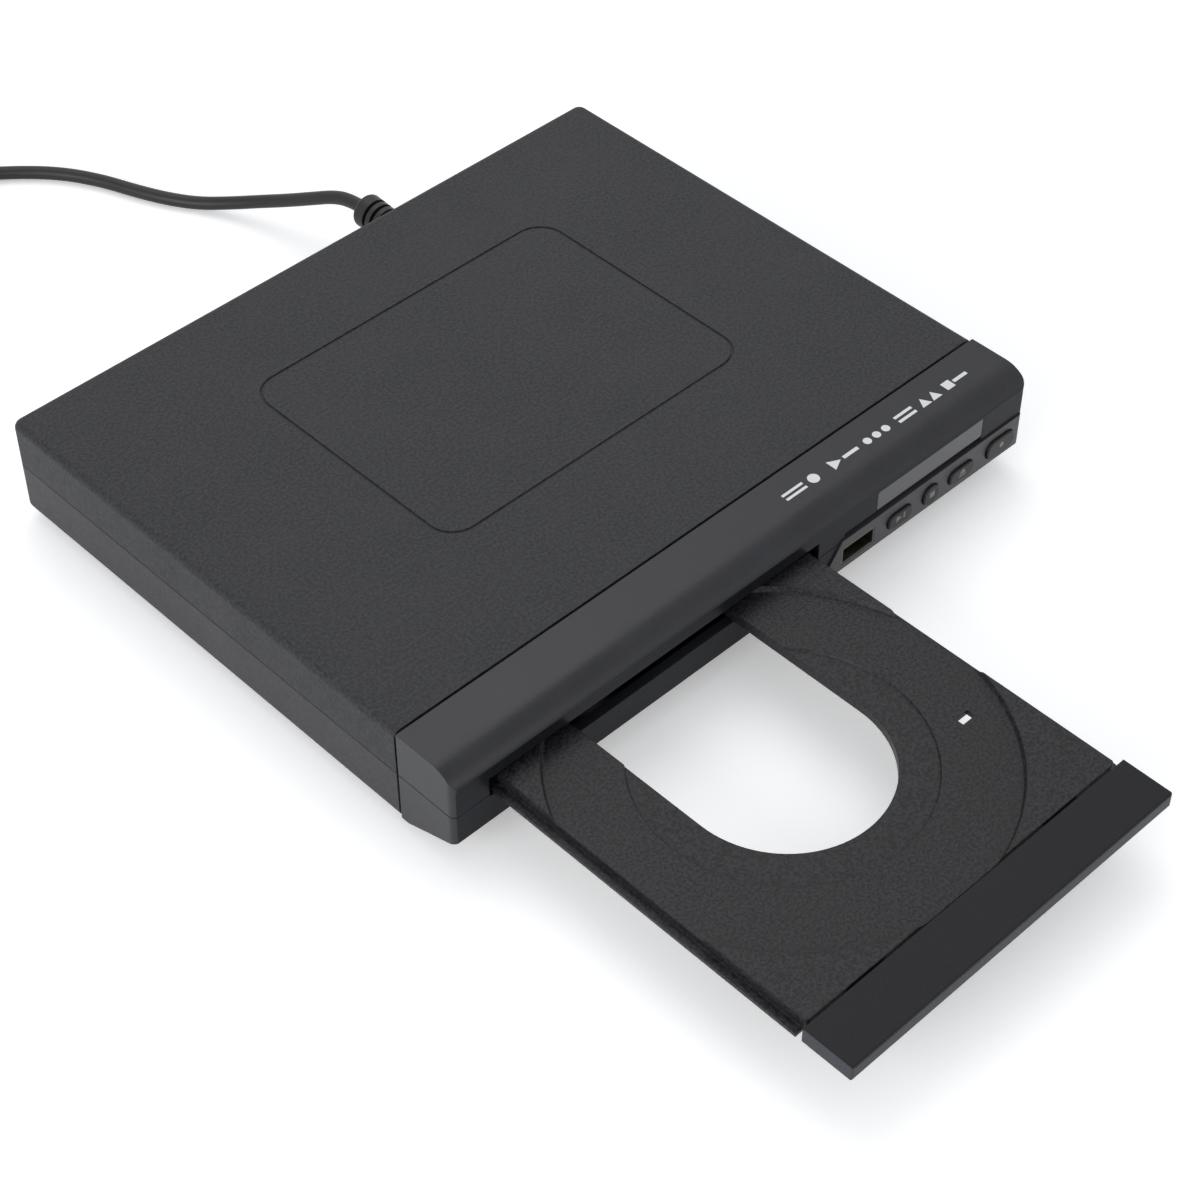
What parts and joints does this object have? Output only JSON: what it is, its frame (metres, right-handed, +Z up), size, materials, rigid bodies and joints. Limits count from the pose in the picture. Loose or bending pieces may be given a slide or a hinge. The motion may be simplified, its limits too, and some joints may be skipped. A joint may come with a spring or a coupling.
{
  "type": "disc player with tray",
  "caption": "Slim flat disc player with a sliding front tray run out, curved front bezel with a button panel and display window, round rubber feet, rear sockets and a coiled mains cord.",
  "frame": {"origin": "on the table, under the middle of the player with its tray run out, cord left aside", "axes": "+X to the right seen from the front, +Y to the back, +Z up; the tray runs out towards -Y"},
  "size_m": [0.2528, 0.539, 0.0355],
  "materials": {
    "lid": "fine moulded texture, matte",
    "case": "fine moulded texture, matte",
    "bezel": "smooth satin moulding",
    "panel": "satin",
    "window": "smoked, glossy",
    "key": "satin",
    "tray": "fine grain, matte",
    "door": "satin",
    "loader": "matte",
    "gear": "natural acetal",
    "belt": "matte",
    "motor_can": "plain zinc-plated",
    "deck": "matte",
    "rod": "ground",
    "turntable": "matte with rubber ring",
    "sled": "matte",
    "lens": "coated lens in a black holder",
    "clamp": "matte",
    "board": "solder mask",
    "chip": "moulded epoxy",
    "digits": "tinted",
    "capacitor": "sleeve",
    "transformer": "taped winding",
    "sink": "extruded",
    "fuse": "clear tube",
    "usb_shell": "stamped, plated",
    "jack": "coloured cores in plated sleeves",
    "screw": "zinc-plated",
    "foot": "matte",
    "cord": "soft sheath, satin",
    "tie": "satin",
    "plug": "satin",
    "blade": "plated"
  },
  "bodies": {
    "chassis": {"bottom_case": "case", "top_cover": "lid", "upper_bezel": "bezel", "lower_bezel": "bezel", "button_panel": "panel", "display_window": "window", "front_board": "board", "key_switches": "chip", "digit_display": "digits", "infrared_receiver": "chip", "front_board_screws": "screw", "usb_socket": "usb_shell", "usb_board": "board", "loader_frame": "loader", "loading_belt": "belt", "loading_motor": "motor_can", "clamp_bridge": "loader", "bridge_screws": "screw", "loader_screws": "screw", "main_board": "board", "chips": "chip", "power_board": "board", "transformer": "transformer", "capacitors": "capacitor", "heat_sink": "sink", "fuse": "fuse", "mains_connector": "chip", "board_screws": "screw", "jack_sockets": "jack", "jack_board": "board", "case_screws": "screw", "rubber_feet": "foot", "strain_relief": "cord", "mains_cord": "cord", "cord_coil": "cord", "cord_tie": "tie", "plug_lead": "cord", "mains_plug": "plug", "plug_blades": "blade"},
    "tray": {"disc_tray": "tray", "tray_door": "door"},
    "loading_gear": {"loading_gear": "gear"},
    "drive_pulley": {"drive_pulley": "gear"},
    "motor_pulley": {"motor_pulley": "gear"},
    "traverse": {"traverse_deck": "deck", "guide_rods": "rod", "spindle_motor": "motor_can", "feed_motor": "motor_can"},
    "turntable": {"turntable": "turntable"},
    "pickup": {"pickup_sled": "sled", "pickup_lens": "lens"},
    "feed_gear": {"feed_gear": "gear"},
    "feed_pinion": {"feed_pinion": "gear"},
    "clamp": {"disc_clamp": "clamp"},
    "play_key": {"play_key": "key"},
    "stop_key": {"stop_key": "key"},
    "eject_key": {"eject_key": "key"},
    "standby_key": {"standby_key": "key"}
  },
  "joints": [
    {"name": "tray_slide", "type": "slide", "parent": "chassis", "child": "tray", "axis": [0, 1, 0], "range_m": [0, 0.12]},
    {"name": "loading_gear_turn", "type": "hinge", "parent": "chassis", "child": "loading_gear", "pos_m": [0.0076, -0.0041, 0.0175], "axis": [0, 0, 1], "range_deg": [-2, 984.2]},
    {"name": "drive_pulley_turn", "type": "hinge", "parent": "chassis", "child": "drive_pulley", "pos_m": [-0.01, -0.0041, 0.0175], "axis": [0, 0, 1], "range_deg": [-2621.2, 2]},
    {"name": "motor_pulley_turn", "type": "hinge", "parent": "chassis", "child": "motor_pulley", "pos_m": [-0.04, -0.0041, 0.0175], "axis": [0, 0, 1], "range_deg": [-6229, 2]},
    {"name": "traverse_lift", "type": "hinge", "parent": "chassis", "child": "traverse", "pos_m": [-0.0393, 0.1019, 0.0141], "axis": [-1, 0, 0], "range_deg": [0, 4.9]},
    {"name": "turntable_spin", "type": "hinge", "parent": "traverse", "child": "turntable", "pos_m": [-0.0393, 0.03312, 0.01563], "axis": [0, -0.0854, 0.9963], "continuous": true},
    {"name": "clamp_spin", "type": "hinge", "parent": "chassis", "child": "clamp", "pos_m": [-0.0393, 0.0335, 0.0285], "axis": [0, 0, 1], "continuous": true},
    {"name": "pickup_slide", "type": "slide", "parent": "traverse", "child": "pickup", "axis": [0, 0.9963, 0.0854], "range_m": [0, 0.034]},
    {"name": "feed_gear_turn", "type": "hinge", "parent": "traverse", "child": "feed_gear", "pos_m": [-0.0714, 0.06045, 0.01295], "axis": [0, -0.0854, 0.9963], "range_deg": [-2, 501.5]},
    {"name": "feed_pinion_turn", "type": "hinge", "parent": "traverse", "child": "feed_pinion", "pos_m": [-0.0714, 0.05007, 0.01106], "axis": [0, -0.0854, 0.9963], "range_deg": [-1091.8, 2]},
    {"name": "play_key_press", "type": "slide", "parent": "chassis", "child": "play_key", "axis": [0, 1, 0], "range_m": [0, 0.0006], "stiffness_N_per_m": 300},
    {"name": "stop_key_press", "type": "slide", "parent": "chassis", "child": "stop_key", "axis": [0, 1, 0], "range_m": [0, 0.0006], "stiffness_N_per_m": 300},
    {"name": "eject_key_press", "type": "slide", "parent": "chassis", "child": "eject_key", "axis": [0, 1, 0], "range_m": [0, 0.0006], "stiffness_N_per_m": 300},
    {"name": "standby_key_press", "type": "slide", "parent": "chassis", "child": "standby_key", "axis": [0, 1, 0], "range_m": [0, 0.0006], "stiffness_N_per_m": 300}
  ],
  "couplings": [
    {"joint": "loading_gear_turn", "follows": "tray_slide", "rad_per_m": 142.86},
    {"joint": "drive_pulley_turn", "follows": "tray_slide", "rad_per_m": -380.95},
    {"joint": "motor_pulley_turn", "follows": "tray_slide", "rad_per_m": -905.68},
    {"joint": "clamp_spin", "follows": "turntable_spin", "ratio": 1},
    {"joint": "feed_gear_turn", "follows": "pickup_slide", "rad_per_m": 256.41},
    {"joint": "feed_pinion_turn", "follows": "pickup_slide", "rad_per_m": -559.44}
  ]
}
